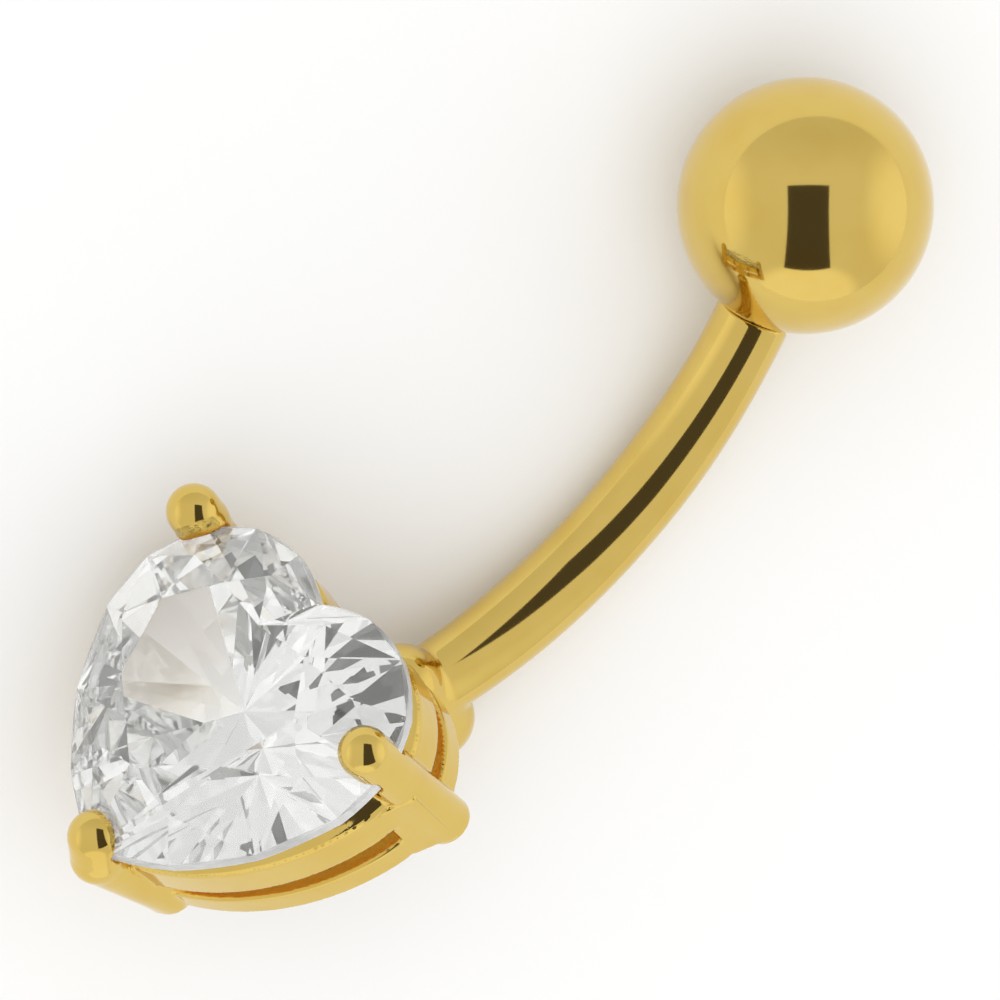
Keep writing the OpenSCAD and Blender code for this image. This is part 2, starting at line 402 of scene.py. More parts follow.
@dataclass
class StoneShape:
    """The cut stone as the planes of its right half, read from the modelled stone."""

    planes: np.ndarray
    offsets: np.ndarray
    off_middle: float = 1e-4
    table_tilt: float = 0.999
    digits: int = 3
    batch: int = 100000

    @classmethod
    def of_node(cls, node: bpy.types.Object, pose: Pose) -> "StoneShape":
        """Collects the planes of the stone's facets.

        Args:
            node: The stone of the CAD frame.
            pose: How the ring lies on the table.

        Returns:
            The shape, in the setting's frame.
        """
        turn = pose.turn()
        planes, offsets = [], []
        for face in node.data.polygons:
            centre = pose.back(np.array([face.center]))[0]
            normal = np.array(face.normal) @ turn
            if centre[0] > cls.off_middle or normal[2] > cls.table_tilt:
                planes.append(normal)
                offsets.append(centre @ normal)
        both = np.unique(np.round(np.column_stack([planes, offsets]), cls.digits), axis=0)
        return cls(both[:, :3], both[:, 3])

    def distance(self, p: Points) -> Distances:
        """Signed distances to the stone.

        Args:
            p: Points, one per row.

        Returns:
            One signed distance per point.
        """
        q = np.column_stack([np.abs(p[:, 0]), p[:, 1], p[:, 2]])
        out = np.empty(len(q))
        for first in range(0, len(q), self.batch):
            part = q[first:first + self.batch]
            out[first:first + self.batch] = np.max(part @ self.planes.T - self.offsets, axis=1)
        return out


@dataclass
class BarShape:
    """The curved bar, slightly slimmer toward both ends, with a flat end under the ball."""

    radius: float = 0.8
    end_radius: float = 0.755
    bend_radius: float = 10.4
    lower_sweep: float = 27.4
    upper_sweep: float = 30.2
    taper_start: float = 7
    taper_length: float = 21
    neck_length: float = 0.1
    joint: Pair = (1.9135, -4.32)
    end_rounding: float = 0.06

    @property
    def centre(self) -> np.ndarray:
        """Centre of the bend, as y and z."""
        a = math.radians(self.lower_sweep)
        return np.array(self.joint) + self.bend_radius * np.array([math.sin(a), math.cos(a)])

    @property
    def tangent(self) -> np.ndarray:
        """Direction of the bar's upper end, as y and z."""
        a = math.radians(self.upper_sweep)
        return np.array([math.cos(a), math.sin(a)])

    @property
    def end(self) -> np.ndarray:
        """Middle of the bar's flat upper end, as y and z."""
        t = self.tangent
        return self.centre + self.bend_radius * np.array([t[1], -t[0]]) + self.neck_length * t

    def distance(self, p: Points) -> Distances:
        """Signed distances to the bar.

        Args:
            p: Points, one per row.

        Returns:
            One signed distance per point.
        """
        yz = p[:, 1:] - self.centre
        angle = np.degrees(np.arctan2(yz[:, 0], -yz[:, 1]))
        held = np.clip(angle, -self.lower_sweep, self.upper_sweep)
        share = ramp(np.abs(held), self.taper_start, self.taper_length)
        radius = self.radius - (self.radius - self.end_radius) * share * share * (3 - 2 * share)
        turn = np.radians(held)
        on_arc = self.bend_radius * np.stack([np.sin(turn), -np.cos(turn)], -1)
        away = yz - on_arc
        past = angle > self.upper_sweep
        along = away @ self.tangent
        away = away - np.where(past, along, 0)[:, None] * self.tangent
        side = np.sqrt(p[:, 0] ** 2 + np.sum(away ** 2, axis=1)) - radius
        cut = (p[:, 1:] - self.end) @ self.tangent
        return meet(side, cut, self.end_rounding)


@dataclass(frozen=True)
class Prong:
    """One prong: a wire of one or two rods, and a flat-sided web from its ridge to the rails."""

    rods: tuple[tuple[Place, Place, float], ...]
    foot: Pair
    web: tuple[Pair, ...]
    web_top: float
    web_fillet: float
    foot_z: float
    foot_edge: float = 0.06
    bend_fillet: float = 0.1
    web_edge: float = 0.06
    mirrored: bool = False

    def distance(self, p: Points, web_bottom: float) -> Distances:
        """Signed distances to the prong.

        Args:
            p: Points, one per row.
            web_bottom: Height of the web's lower end.

        Returns:
            One signed distance per point.
        """
        wire = rod(p, *self.rods[0])
        for more in self.rods[1:]:
            wire = join(wire, rod(p, *more), self.bend_fillet)
        side = np.abs(p[:, 0]) if self.mirrored else p[:, 0]
        plan = flat_polygon(np.column_stack([side, p[:, 1]]) - np.array(self.foot), self.web)
        half = (self.web_top - web_bottom) / 2
        levels = np.abs(p[:, 2] - (self.web_top + web_bottom) / 2) - half
        whole = join(wire, meet(plan, levels, self.web_edge), self.web_fillet)
        return meet(whole, self.foot_z - p[:, 2], self.foot_edge)


@dataclass
class SettingShape:
    """The soldered basket, lug and bar as one signed distance."""

    outline: HeartOutline
    stone: StoneShape
    bar: BarShape
    seat_gap: float = 0.045
    seat_edge: float = 0.02
    rail_width: float = 0.46
    upper_inset: float = 0.1
    upper_top: float = -0.8
    upper_bottom: float = -1.68
    lower_inset: float = 0.16
    lower_top: float = -2.2
    lower_bottom: float = -2.82
    edge: float = 0.07
    bearing_step: float = 0.02
    bearing_depth: float = 0.2
    bearing_edge: float = 0.04
    foot_z: float = -2.99
    prong_radius: float = 0.5
    prong_fillet: float = 0.07
    web_depth: float = 0.05
    lug_radius: float = 0.85
    lug_depth: float = 5.37
    lug_drop: float = 0.2
    lug_fillet: float = 0.18
    bar_fillet: float = 0.1
    post_back: float = 0.3
    post_bottom: float = -3.4
    post_drop: float = 0.8
    post_fillet: float = 0.12
    probes: tuple[float, ...] = (0.18, 0.4)
    # Where the inside of the basket counts as hollow: rougher cast gold there, and painted shade in the
    # gold's colour.
    cast_and_shade_wall_ramp: Pair = (0.06, 0.08)
    cast_and_shade_top_ramp: Pair = (0.15, 0.1)
    cast_and_shade_bottom_ramp: Pair = (0.02, 0.06)
    cast_and_shade_share: float = 0.8

    @property
    def prongs(self) -> tuple[Prong, ...]:
        """The right, the left and the point prong; the last one bends in over the stone."""
        low, thick, y = self.foot_z, self.prong_radius, self.outline.point_y
        return (
            Prong(rods=(((3.53, 0.627, low - 0.5), (3.422, 0.49, 0.47), thick),),
                  foot=(3.515, 0.608), web=((0, 0), (0.5, -0.1), (0.1, -0.85), (-0.3, -0.75)),
                  web_top=-0.98, web_fillet=0.05, foot_z=low),
            Prong(rods=(((-2.83, 1.187, low - 0.5), (-3.357, 1.618, 0.025), thick),
                        ((-3.357, 1.618, 0.025), (-3.4075, 1.6595, 0.35), 0.54)),
                  foot=(-2.905, 1.248), web=((0, 0), (-0.5, 0.1), (-0.45, -0.9), (0, -0.9)),
                  web_top=-1.2, web_fillet=0.06, foot_z=low),
            Prong(rods=(((0, y + 0.42, low), (0, y - 0.05, -0.35), thick),
                        ((0, y - 0.015, -0.35), (0, y + 0.23, 0.15), 0.53)),
                  foot=(0, y + 0.42), mirrored=True,
                  web=((-0.3, 0), (-0.3, -0.5), (0.1, -0.5), (0.8, 0.3), (0.5, 0.6)),
                  web_top=-1.1, web_fillet=0.12, foot_z=low - 0.02, foot_edge=0.1, bend_fillet=0.04))

    def rail(self, plan: Distances, z: np.ndarray, inset: float, bottom: float,
             top: float) -> Distances:
        """One heart-shaped rail with rounded edges.

        Args:
            plan: Distances in plan to the outline.
            z: Heights of the points.
            inset: How far the rail's outer wall stands inside the outline.
            bottom: Lower level of the rail.
            top: Upper level of the rail.

        Returns:
            Signed distances to the rail.
        """
        walls = np.maximum(plan + inset, -(plan + inset + self.rail_width))
        levels = np.abs(z - (top + bottom) / 2) - (top - bottom) / 2
        return meet(walls, levels, self.edge)

    def bearing(self, plan: Distances, z: np.ndarray) -> Distances:
        """The sloped ledge on top of the upper rail that rises to the stone's underside.

        Args:
            plan: Distances in plan to the outline.
            z: Heights of the points.

        Returns:
            Signed distances to the ledge.
        """
        wall = plan + self.upper_inset
        walls = np.maximum(wall + self.bearing_step, -(wall + self.rail_width))
        slope = (z - (self.upper_top - self.bearing_step) + plan + self.upper_inset) / math.sqrt(2)
        ledge = meet(walls, slope, self.bearing_edge)
        return meet(ledge, self.upper_bottom + self.bearing_depth - z, self.bearing_edge)

    def lug(self, p: Points) -> Distances:
        """The rounded lug behind the cleft."""
        y, top = self.bar.joint[0], self.lower_bottom - self.lug_radius - self.lug_drop
        return rod(p, (0, y, -self.lug_depth), (0, y, top), self.lug_radius)

    def post(self, p: Points) -> Distances:
        """The post that ties both rails to the lug at the cleft."""
        y, top = self.bar.joint[0] - self.post_back, self.upper_top - self.post_drop
        return rod(p, (0, y, self.post_bottom), (0, y, top), self.prong_radius)

    def metal(self, p: Points) -> Distances:
        """Everything that is soldered into one piece, without the cut for the stone.

        Args:
            p: Points, one per row.

        Returns:
            One signed distance per point.
        """
        plan, z = self.outline.distance(p), p[:, 2]
        upper = self.rail(plan, z, self.upper_inset, self.upper_bottom, self.upper_top)
        lower = self.rail(plan, z, self.lower_inset, self.lower_bottom, self.lower_top)
        rails = np.minimum(np.minimum(upper, self.bearing(plan, z)), lower)
        basket = join(rails, self.post(p), self.post_fillet)
        for prong in self.prongs:
            basket = join(basket, prong.distance(p, self.lower_bottom - self.web_depth),
                          self.prong_fillet)
        carrier = join(self.lug(p), self.bar.distance(p), self.bar_fillet)
        return join(basket, carrier, self.lug_fillet)

    def distance(self, p: Points) -> Distances:
        """Signed distances to the metal with the stone's seat cut out."""
        return meet(self.metal(p), self.seat_gap - self.stone.distance(p), self.seat_edge)

    def crevice(self, surface: Surface) -> np.ndarray:
        """How deep in a hollow each point lies, which the gold uses for its roughness and for painted
        shade in its colour.

        Args:
            surface: The mesh of the metal.

        Returns:
            Values from 0 on open faces to 1 in the depth of a slot or inside the basket.
        """
        depth = np.zeros(len(surface.points))
        for reach in self.probes:
            probe = surface.points + reach * surface.normals
            free = np.minimum(self.metal(probe), self.stone.distance(probe))
            depth += np.clip(1 - free / reach, 0, 1) / len(self.probes)
        # The inside of the basket between the rails also counts as hollow, so it gets the rough cast
        # finish and the painted shade.
        z = surface.points[:, 2]
        wall = -self.outline.distance(surface.points) - self.upper_inset
        inside = ramp(wall, *self.cast_and_shade_wall_ramp)
        below_top = ramp(self.upper_top - z, *self.cast_and_shade_top_ramp)
        above_bottom = ramp(z - self.lower_bottom, *self.cast_and_shade_bottom_ramp)
        return np.maximum(depth, self.cast_and_shade_share * inside * below_top * above_bottom)


# -------- turned pieces


@dataclass
class Turned:
    """A round piece turned about the line of the bar's upper end."""

    bar: BarShape
    around: int = 128

    def axes(self) -> tuple[np.ndarray, np.ndarray, np.ndarray]:
        """Returns the line's direction and two directions across it."""
        t = self.bar.tangent
        return np.array([0, t[0], t[1]]), np.array([1.0, 0, 0]), np.array([0, -t[1], t[0]])

    def surface(self, along: np.ndarray, radius: np.ndarray) -> Surface:
        """Builds the skin from a grid of places along the line and radii.

        Args:
            along: Distance from the bar's end, one per profile row or one per grid point.
            radius: Radius, one per profile row or one per grid point.

        Returns:
            The surface, closed at the first and last row by its points on the line.
        """
        rows = len(along)
        line, across, up = self.axes()
        angle = np.arange(self.around) * 2 * math.pi / self.around
        s = np.broadcast_to(along.reshape(rows, -1), (rows, self.around))
        r = np.broadcast_to(radius.reshape(rows, -1), (rows, self.around))
        start = np.array([0, *self.bar.end])
        spoke = np.cos(angle)[:, None] * across + np.sin(angle)[:, None] * up
        grid = start + s[..., None] * line + r[..., None] * spoke[None]
        number = np.arange(rows * self.around).reshape(rows, self.around)
        after = np.roll(number, -1, axis=1)
        faces = np.stack([number[:-1], number[1:], after[1:], after[:-1]], -1).reshape(-1, 4)
        ds_v, dr_v = np.gradient(s, axis=0), np.gradient(r, axis=0)
        turn = 2 * math.pi / self.around
        ds_u = (np.roll(s, -1, 1) - np.roll(s, 1, 1)) / (2 * turn)
        dr_u = (np.roll(r, -1, 1) - np.roll(r, 1, 1)) / (2 * turn)
        side = -np.sin(angle)[:, None] * across + np.cos(angle)[:, None] * up
        round_ = ds_u[..., None] * line + dr_u[..., None] * spoke[None] + r[..., None] * side[None]
        climb = ds_v[..., None] * line + dr_v[..., None] * spoke[None]
        normal = np.cross(climb, round_)
        size = np.linalg.norm(normal, axis=-1, keepdims=True)
        normal = np.where(size > SLIVER, normal / np.maximum(size, TINY), line)
        return Surface(grid.reshape(-1, 3), faces, normal.reshape(-1, 3))


@dataclass
class BallShape(Turned):
    """The screw-on ball: flat seat, blind hole and a polished round outside."""

    diameter: float = 5.0
    gap: float = 0.03
    seat_radius: float = 0.8
    hole_radius: float = 0.63
    hole_depth: float = 2.77
    hole_middle: float = 1.4
    edge: float = 0.03
    rings: int = 120
    first_turn: float = 0.01
    roundness: float = 1e-4
    bottom_rows: tuple[Pair, ...] = ((0, -0.04), (0, -0.01), (-0.03, 0), (-0.06, 0))
    mouth_rows: tuple[Pair, ...] = ((0.09, 0), (0.05, 0.005), (0.01, 0.04), (0, 0.06))

    @property
    def middle(self) -> float:
        """Distance of the ball's centre from the bar's end."""
        return self.gap + math.sqrt(self.diameter ** 2 / 4 - self.seat_radius ** 2)

    def profile(self) -> tuple[np.ndarray, np.ndarray]:
        """The ball's outline, from the hole's bottom to the far pole.

        Returns:
            Places along the line, and radii.
        """
        r, bottom = self.diameter / 2, self.gap + self.hole_depth
        rows: list[Pair] = [(bottom, 0.0)]
        rows += [(bottom + s, self.hole_radius + more) for s, more in self.bottom_rows]
        rows += [(self.hole_middle, self.hole_radius)]
        rows += [(self.gap + s, self.hole_radius + more) for s, more in self.mouth_rows]
        rows += [(self.gap, self.seat_radius - self.edge)]
        first = math.acos(-(self.middle - self.gap) / r)
        for angle in np.linspace(first - self.first_turn, 0, self.rings):
            rows.append((self.middle + r * math.cos(angle), r * math.sin(angle)))
        table = np.array(rows)
        return table[:, 0], np.maximum(table[:, 1], POLE_RADIUS)

    def build(self, pose: Pose) -> bpy.types.Object:
        """Builds the ball, with the normals of a true sphere on its round part.

        Args:
            pose: How the ring lies on the table.

        Returns:
            The ball.
        """
        skin = self.surface(*self.profile())
        line, _, _ = self.axes()
        spoke = skin.points - (np.array([0, *self.bar.end]) + self.middle * line)
        size = np.linalg.norm(spoke, axis=1)
        round_part = np.abs(size - self.diameter / 2) < self.roundness
        skin.normals[round_part] = spoke[round_part] / size[round_part, None]
        return skin.build("screw_ball", pose)


@dataclass
class StudShape(Turned):
    """The threaded stud that the ball screws onto."""

    around: int = 64
    radius: float = 0.6
    root: float = 0.51
    pitch: float = 0.25
    length: float = 2.4
    rows: int = 200
    start: float = -0.25
    flank_gain: float = 1.15
    run_in_ramp: Pair = (0.08, 0.2)
    run_out: float = 0.1
    run_gain: float = 3
    chamfer_length: float = 0.12
    chamfer_depth: float = 0.11
    tip_share: float = 0.96

    def build(self, pose: Pose) -> bpy.types.Object:
        """Builds the stud with its thread.

        Args:
            pose: How the ring lies on the table.

        Returns:
            The stud.
        """
        s = np.linspace(self.start, self.length, self.rows)[:, None]
        turn = np.arange(self.around)[None, :] / self.around
        phase = np.mod(s / self.pitch - turn, 1.0)
        wave = np.clip(0.5 + self.flank_gain * (np.abs(phase - 0.5) * 4 - 1) / 2, 0, 1)
        fade = ramp(s, *self.run_in_ramp) * ramp(self.length - s, 0, self.run_out)
        radius = self.radius - (self.radius - self.root) * wave * np.clip(fade * self.run_gain, 0, 1)
        chamfer = ramp(s, self.length - self.chamfer_length, self.chamfer_length)
        radius = radius - self.chamfer_depth * chamfer
        along = np.broadcast_to(s, radius.shape)
        along = np.vstack([along, along[-1:], along[-1:]])
        radius = np.vstack([radius, radius[-1:] * self.tip_share, radius[-1:] * 0 + POLE_RADIUS])
        return self.surface(along, radius).build("threaded_stud", pose)


# -------- finishes


class Value:
    """A shader socket that takes part in arithmetic."""

    def __init__(self, graph: "Graph", socket: bpy.types.NodeSocket) -> None:
        """Wraps a socket of a graph."""
        self.graph = graph
        self.socket = socket

    def _math(self, operation: str, first: "Value | float", second: "Value | float") -> "Value":
        """Adds a Math node.

        Args:
            operation: The node's operation.
            first: The first operand.
            second: The second operand.

        Returns:
            The result.
        """
        node = self.graph.node("ShaderNodeMath", {"operation": operation}, {0: first, 1: second})
        return Value(self.graph, node.outputs[0])

    def __add__(self, other: "Value | float") -> "Value":
        """Sum."""
        return self._math("ADD", self, other)

    def __radd__(self, other: float) -> "Value":
        """Sum with a number in front."""
        return self._math("ADD", other, self)

    def __sub__(self, other: "Value | float") -> "Value":
        """Difference."""
        return self._math("SUBTRACT", self, other)

    def __rsub__(self, other: float) -> "Value":
        """Difference with a number in front."""
        return self._math("SUBTRACT", other, self)

    def __mul__(self, other: "Value | float") -> "Value":
        """Product."""
        return self._math("MULTIPLY", self, other)

    def __rmul__(self, other: float) -> "Value":
        """Product with a number in front."""
        return self._math("MULTIPLY", other, self)

    def smooth(self, low: float, high: float) -> "Value":
        """Rises softly from 0 to 1 between two values."""
        node = self.graph.node("ShaderNodeMapRange", {"interpolation_type": "SMOOTHSTEP"},
                               {0: self, 1: low, 2: high, 3: 0.0, 4: 1.0})
        return Value(self.graph, node.outputs[0])


class Graph:
    """The node tree of one material."""

    def __init__(self, tree: bpy.types.NodeTree) -> None:
        """Empties the tree."""
        self.tree = tree
        tree.nodes.clear()

    def node(self, kind: str, settings: dict[str, Any], inputs: dict[Any, Any]) -> bpy.types.Node:
        """Adds a node.

        Args:
            kind: The node's type.
            settings: Attributes that are set first.
            inputs: Values, colours or links by socket name or number.

        Returns:
            The node.
        """
        made = self.tree.nodes.new(kind)
        for key, setting in settings.items():
            setattr(made, key, setting)
        for key, given in inputs.items():
            source = given.socket if isinstance(given, Value) else given
            if isinstance(source, bpy.types.NodeSocket):
                self.tree.links.new(source, made.inputs[key])
            else:
                made.inputs[key].default_value = source
        return made

    def noise(self, scale: float, detail: float) -> Value:
        """Noise over the object's own coordinates.

        Args:
            scale: Waves per metre.
            detail: Octaves.

        Returns:
            Values around one half.
        """
        place = self.node("ShaderNodeTexCoord", {}, {})
        made = self.node("ShaderNodeTexNoise", {}, {"Vector": place.outputs["Object"], "Scale": scale,
                                                    "Detail": detail, "Roughness": 0.55})
        return Value(self, made.outputs["Fac"])

    def mix(self, share: Value, first: Any, second: Any) -> bpy.types.NodeSocket:
        """Mixes two colours.

        Args:
            share: Share of the second colour.
            first: A colour or a socket.
            second: A colour or a socket.

        Returns:
            The mixed colour's socket.
        """
        made = self.node("ShaderNodeMix", {"data_type": "RGBA"}, {0: share, 6: first, 7: second})
        return made.outputs[2]

    def along(self, place: bpy.types.NodeSocket, axis: Sequence[float]) -> Value:
        """How far a place or a direction reaches along an axis."""
        made = self.node("ShaderNodeVectorMath", {"operation": "DOT_PRODUCT"},
                         {0: place, 1: tuple(axis)})
        return Value(self, made.outputs["Value"])


class Finish:
    """A look that builds its own material; each kind gives its name and its shader."""

    name: str

    def shader(self, graph: Graph) -> bpy.types.NodeSocket:
        """Adds the nodes of the look.

        Args:
            graph: The material's graph.

        Returns:
            The shader's socket.
        """
        raise NotImplementedError

    def material(self) -> bpy.types.Material:
        """Builds the material.

        Returns:
            The material, its output linked.
        """
        made = bpy.data.materials.new(self.name)
        made.use_nodes = True
        graph = Graph(made.node_tree)
        graph.node("ShaderNodeOutputMaterial", {}, {"Surface": self.shader(graph)})
        return made


@dataclass(frozen=True)
class GoldFinish(Finish):
    """Cast and polished yellow gold, rougher in its hollows, with painted shade there: its colour turns
    a deeper orange in hollows and inside the basket.
    """

    name: str
    bright: Colour = (0.70, 0.505, 0.135, 1)
    warm: Colour = (0.68, 0.475, 0.115, 1)
    # Painted shade: the deeper orange laid into hollows and inside the basket.
    hollow_shade: Colour = (0.82, 0.43, 0.05, 1)
    polish: float = 0.07
    cast_roughness: float = 0.42
    haze: float = 0.03
    haze_noise: Pair = (3500, 3)
    tone_noise: Pair = (900, 2)
    tone_range: Pair = (0.35, 0.75)
    hollow_range: Pair = (0.3, 0.85)
    ripple_noise: Pair = (650, 1)
    ripple_strength: float = 0.12
    ripple_height: float = 0.00002
    grain_noise: Pair = (11000, 3)
    grain_strength: float = 0.6
    grain_height: float = 0.00004

    def shader(self, graph: Graph) -> bpy.types.NodeSocket:
        """Adds the nodes of the look.

        Args:
            graph: The material's graph.

        Returns:
            The shader's socket.
        """
        held = graph.node("ShaderNodeAttribute", {"attribute_name": "crevice"}, {})
        hollow = Value(graph, held.outputs["Fac"]).smooth(*self.hollow_range)
        tone = graph.noise(*self.tone_noise).smooth(*self.tone_range)
        # Painted shade: the colour turns to the deeper orange where the crevice value is high.
        colour = graph.mix(hollow, graph.mix(tone, self.bright, self.warm), self.hollow_shade)
        haze = self.haze * graph.noise(*self.haze_noise)
        roughness = self.polish + haze + hollow * (self.cast_roughness - self.polish)
        waves = graph.node("ShaderNodeBump", {}, {
            "Strength": self.ripple_strength, "Distance": self.ripple_height,
            "Height": graph.noise(*self.ripple_noise)})
        bump = graph.node("ShaderNodeBump", {}, {
            "Strength": self.grain_strength, "Distance": self.grain_height,
            "Height": graph.noise(*self.grain_noise) * hollow, "Normal": waves.outputs[0]})
        shader = graph.node("ShaderNodeBsdfPrincipled", {}, {
            "Base Color": colour, "Metallic": 1.0, "Roughness": roughness, "Normal": bump.outputs[0]})
        return shader.outputs[0]


@dataclass(frozen=True)
class StoneFinish(Finish):
    """Clear cut stone with a finely ground girdle and a faint bloom on its crown."""

    pose: Pose
    name: str = "clear_cut_stone"
    colour: Colour = (0.985, 0.99, 0.98, 1)
    index: float = 2.08
    girdle_low: float = -0.285
    girdle_high: float = 0.005
    girdle_edge: float = 0.02
    girdle_roughness: float = 0.38
    veil: Colour = (0.82, 0.83, 0.78, 1)
    veil_share: float = 0.09
    veil_roughness: float = 0.6
    smear_noise: Pair = (700, 3)
    smear_low: float = 0.75
    smear_range: float = 0.5

    def shader(self, graph: Graph) -> bpy.types.NodeSocket:
        """Adds the nodes of the look.

        Args:
            graph: The material's graph.

        Returns:
            The shader's socket.
        """
        place = graph.node("ShaderNodeTexCoord", {}, {})
        axis = self.pose.turn() @ np.array([0, 0, 1.0])
        height = graph.along(place.outputs["Object"], axis / MM)
        height = height - float(np.array(self.pose.shift) @ axis)
        crown = height.smooth(self.girdle_high - self.girdle_edge, self.girdle_high)
        ground = height.smooth(self.girdle_low, self.girdle_low + self.girdle_edge) - crown
        clear = graph.node("ShaderNodeBsdfPrincipled", {}, {
            "Base Color": self.colour, "Roughness": self.girdle_roughness * ground,
            "IOR": self.index, "Transmission Weight": 1.0})
        bloom = graph.node("ShaderNodeBsdfPrincipled", {}, {
            "Base Color": self.veil, "Roughness": self.veil_roughness, "Specular IOR Level": 0.0})
        smears = self.smear_low + self.smear_range * graph.noise(*self.smear_noise)
        both = graph.node("ShaderNodeMixShader", {}, {
            0: self.veil_share * crown * smears, 1: clear.outputs[0], 2: bloom.outputs[0]})
        return both.outputs[0]


@dataclass(frozen=True)
class FloorFinish(Finish):
    """Pale matt table top with a barely visible grain."""

    name: str = "pale_table"
    light: Colour = (0.95, 0.95, 0.945, 1)
    shade: Colour = (0.935, 0.935, 0.93, 1)
    grain_noise: Pair = (60, 2)
    roughness: float = 0.75
    gloss: float = 0.2

    def shader(self, graph: Graph) -> bpy.types.NodeSocket:
        """Adds the nodes of the look.

        Args:
            graph: The material's graph.

        Returns:
            The shader's socket.
        """
        colour = graph.mix(graph.noise(*self.grain_noise), self.light, self.shade)
        shader = graph.node("ShaderNodeBsdfPrincipled", {}, {
            "Base Color": colour, "Roughness": self.roughness, "Specular IOR Level": self.gloss})
        return shader.outputs[0]


@dataclass(frozen=True)
class OpeningFinish(Finish):
    """The dim room behind the tent's opening."""

    brightness: float
    name: str = "dark_opening"
    colour: Colour = (1, 0.9, 0.9, 1)

    def shader(self, graph: Graph) -> bpy.types.NodeSocket:
        """Adds the nodes of the look.

        Args:
            graph: The material's graph.

        Returns:
            The shader's socket.
        """
        glow = graph.node("ShaderNodeEmission", {}, {"Color": self.colour, "Strength": self.brightness})
        return glow.outputs[0]


# -------- sub-assemblies


@dataclass
class Ring:
    """The soldered gold: bar, lug and three-prong basket, with the threaded stud."""

    pose: Pose
    setting: SettingShape
    finish: GoldFinish = GoldFinish("polished_setting_gold")
    low: Place = (-4.05, -5.05, -6.35)
    high: Place = (4.15, 12.1, 1.1)

    def build(self) -> list[bpy.types.Object]:
        """Builds the casting and the stud.

        Returns:
            Both pieces.
        """
        surface = Caster(self.setting.distance, self.low, self.high).mesh()
        surface.crevice = self.setting.crevice(surface)
        casting = surface.build("bar_and_basket", self.pose)
        stud = StudShape(self.setting.bar).build(self.pose)
        gold = self.finish.material()
        for piece in (casting, stud):
            piece.data.materials.append(gold)
            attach(piece, Body.RING.value)
            piece.visible_transmission = False
        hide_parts("bar_and_setting")
        return [casting, stud]


@dataclass
class ScrewBall:
    """The ball that screws onto the bar."""

    pose: Pose
    bar: BarShape
    finish: GoldFinish = GoldFinish("polished_ball_gold", polish=0.06)

    def build(self) -> bpy.types.Object:
        """Builds the ball.

        Returns:
            The ball.
        """
        ball = BallShape(self.bar).build(self.pose)
        ball.data.materials.append(self.finish.material())
        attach(ball, Body.BALL.value)
        ball.visible_transmission = False
        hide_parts("ball")
        return ball


@dataclass
class HeartStone:
    """The cut stone, which keeps its modelled facets."""

    pose: Pose

    def dress(self, node: bpy.types.Object) -> None:
        """Gives the stone its clear finish."""
        node.data.materials.clear()
        node.data.materials.append(StoneFinish(self.pose).material())


@dataclass(frozen=True)
class Opening:
    """One stretch of the tent's opening, as a card that only the gold or only the stone shows."""

    name: str
    middle: Place
    distance: float
    top: float
    bottom: float
    half: float
    brightness: float
    in_gold: bool


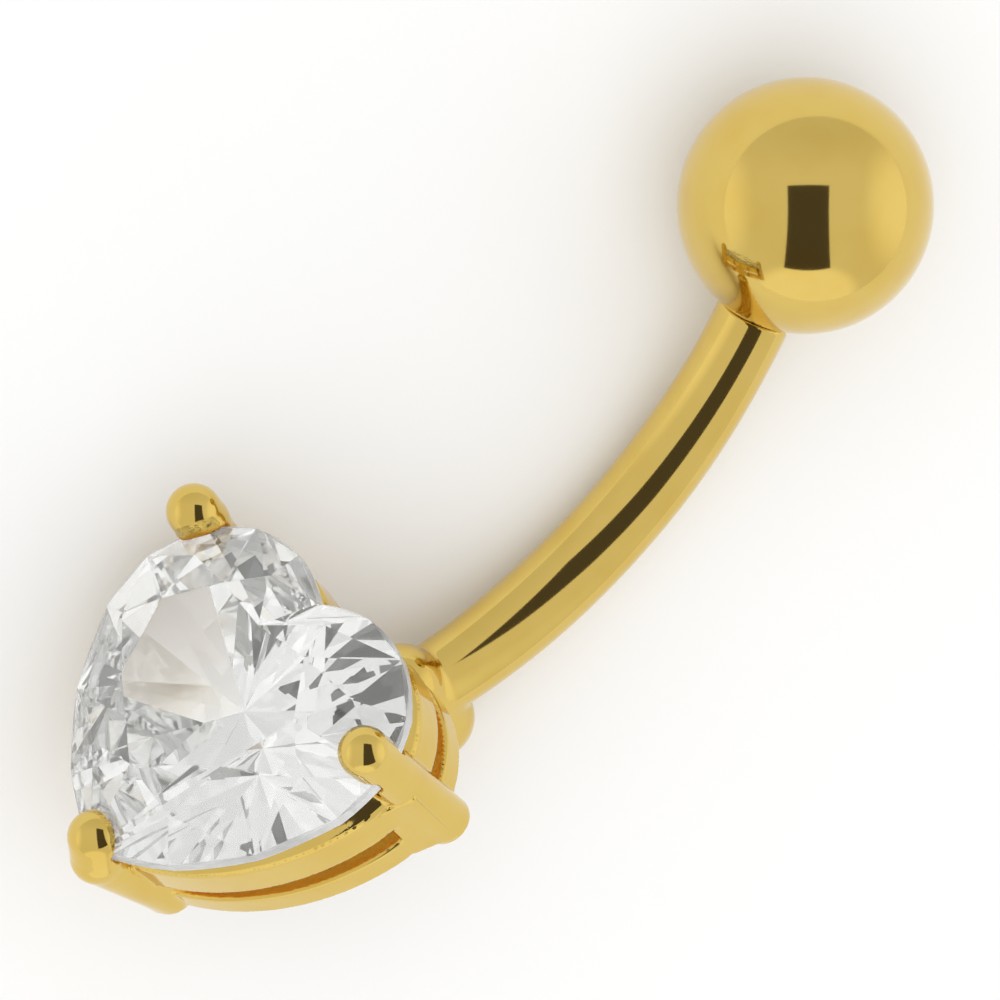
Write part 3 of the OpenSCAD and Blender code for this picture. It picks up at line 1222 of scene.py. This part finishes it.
@dataclass
class Studio:
    """Table, light tent and the camera of the photograph."""

    pose: Pose
    camera_place: Place = (70.3205, 0.2087, 97.4057)
    image_right: Place = (0.61595065, 0.68039682, -0.39707048)
    image_down: Place = (0.53665531, -0.73139266, -0.42079194)
    forward: Place = (-0.57671993, 0.04609708, -0.81564035)
    sensor: float = 36
    lens: float = 227.918
    clip: Pair = (0.005, 20)
    table_half: float = 1.5
    light_toward: Place = (0.2, -0.3, 1.0)
    light_distance: float = 1.0
    light_size: float = 1.0
    light_power: float = 2.6
    tent_roof: float = 0.88
    tent_sides: float = 0.28
    tent_far_end: float = 0.1
    side_range: Pair = (0.72, 1.0)
    near_range: Pair = (0.8, 0.9)
    far_range: Pair = (0.35, 1.0)
    max_bounces: int = 20
    glossy_bounces: int = 14
    transmission_bounces: int = 16
    card_rows: int = 16
    openings: tuple[Opening, ...] = (
        Opening(name="opening_in_gold", middle=(0, 14.0904, -2.8184), distance=0.03,
                top=15, bottom=-60, half=17.5, brightness=0.085, in_gold=True),
        Opening(name="opening_in_stone", middle=(0, -1, -1.5), distance=0.1,
                top=38, bottom=-60, half=30, brightness=0.02, in_gold=False))

    def frame_axes(self) -> tuple[np.ndarray, np.ndarray, np.ndarray]:
        """Returns the image's right, up and way to the camera, in the model's frame."""
        axes = self.pose.direction(np.array([self.image_right, self.image_down, self.forward]))
        return axes[0], -axes[1], -axes[2]

    def camera(self) -> None:
        """Sets up the camera at the photograph's viewing angle."""
        data = bpy.data.cameras.new("photo_view")
        data.sensor_width, data.lens = self.sensor, self.lens
        data.clip_start, data.clip_end = self.clip
        made = link("photo_view", data)
        turn = Matrix(np.column_stack(self.frame_axes()).tolist())
        place = self.pose.place(np.array([self.camera_place]))[0]
        made.matrix_world = Matrix.Translation(Vector(place)) @ turn.to_4x4()
        bpy.context.scene.camera = made

    def table(self) -> None:
        """Builds the pale table top."""
        mesh = bpy.data.meshes.new("table_top")
        corners = [(x * self.table_half, y * self.table_half, 0)
                   for x, y in ((-1, -1), (1, -1), (1, 1), (-1, 1))]
        mesh.from_pydata(corners, [], [(0, 1, 2, 3)])
        made = link("table_top", mesh)
        made.data.materials.append(FloorFinish().material())

    def table_light(self) -> None:
        """Adds the soft light over the table, which neither gold nor stone mirrors."""
        data = bpy.data.lights.new("table_light", "AREA")
        data.shape, data.energy = "RECTANGLE", self.light_power
        data.size = data.size_y = self.light_size
        made = link("table_light", data)
        way = Vector(self.light_toward).normalized()
        made.location = way * self.light_distance
        made.rotation_euler = way.to_track_quat("Z", "Y").to_euler()
        made.visible_glossy = False
        made.visible_transmission = False

    def opening(self, card: Opening) -> None:
        """Adds one stretch of the dark opening around the camera, which casts no shadow.

        Args:
            card: The stretch; its angles are counted from the camera's direction.
        """
        right, up, back = self.frame_axes()
        half = math.radians(card.half)
        middle = self.pose.place(np.array([card.middle]))[0]
        rows = []
        for angle in np.radians(np.linspace(card.top, card.bottom, self.card_rows)):
            way = math.cos(angle) * back + math.sin(angle) * up
            for side in (-1, 1):
                spoke = math.cos(half) * way + side * math.sin(half) * right
                rows.append(tuple(middle + card.distance * spoke))
        faces = [(2 * i, 2 * i + 1, 2 * i + 3, 2 * i + 2) for i in range(self.card_rows - 1)]
        mesh = bpy.data.meshes.new(card.name)
        mesh.from_pydata(rows, [], faces)
        made = link(card.name, mesh)
        made.data.materials.append(OpeningFinish(card.brightness).material())
        made.visible_camera = False
        made.visible_diffuse = False
        made.visible_shadow = False
        made.visible_volume_scatter = False
        made.visible_glossy = card.in_gold
        made.visible_transmission = not card.in_gold

    def world(self) -> None:
        """Gives the tent its even light: a dimmer roof and far end, brighter sides and near end."""
        world = bpy.data.worlds.new("light_tent")
        bpy.context.scene.world = world
        world.use_nodes = True
        graph = Graph(world.node_tree)
        right, up, _ = self.frame_axes()
        place = graph.node("ShaderNodeTexCoord", {}, {}).outputs["Generated"]
        across = graph.along(place, right).smooth(*self.side_range)
        across = across + graph.along(place, -right).smooth(*self.side_range)
        near = graph.along(place, -up).smooth(*self.near_range)
        far = graph.along(place, up).smooth(*self.far_range)
        strength = self.tent_roof + self.tent_sides * (across + near) - self.tent_far_end * far
        shade = graph.node("ShaderNodeBackground", {}, {"Color": (1, 1, 1, 1), "Strength": strength})
        graph.node("ShaderNodeOutputWorld", {}, {"Surface": shade.outputs[0]})

    def look(self) -> None:
        """Keeps whites white, and lets light pass often enough through the stone."""
        scene = bpy.context.scene
        scene.view_settings.view_transform = "Standard"
        scene.cycles.max_bounces = self.max_bounces
        scene.cycles.glossy_bounces = self.glossy_bounces
        scene.cycles.transmission_bounces = self.transmission_bounces

    def build(self) -> None:
        """Builds table, light tent and camera."""
        self.table()
        self.world()
        for card in self.openings:
            self.opening(card)
        self.table_light()
        self.look()
        self.camera()


def main() -> None:
    """Builds the ring, dresses it and sets up the studio."""
    logging.basicConfig(level=logging.INFO, format="%(name)s: %(message)s")
    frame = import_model()
    pose = Pose()
    node = frame["nodes"]["heart_stone"]
    bar = BarShape()
    setting = SettingShape(HeartOutline(), StoneShape.of_node(node, pose), bar)
    for piece in Ring(pose, setting).build():
        LOG.info("%s: %d points", piece.name, len(piece.data.vertices))
    ball = ScrewBall(pose, bar).build()
    LOG.info("%s: %d points", ball.name, len(ball.data.vertices))
    HeartStone(pose).dress(node)
    LOG.info("heart stone dressed")
    Studio(pose).build()


if __name__ == "__main__":
    main()
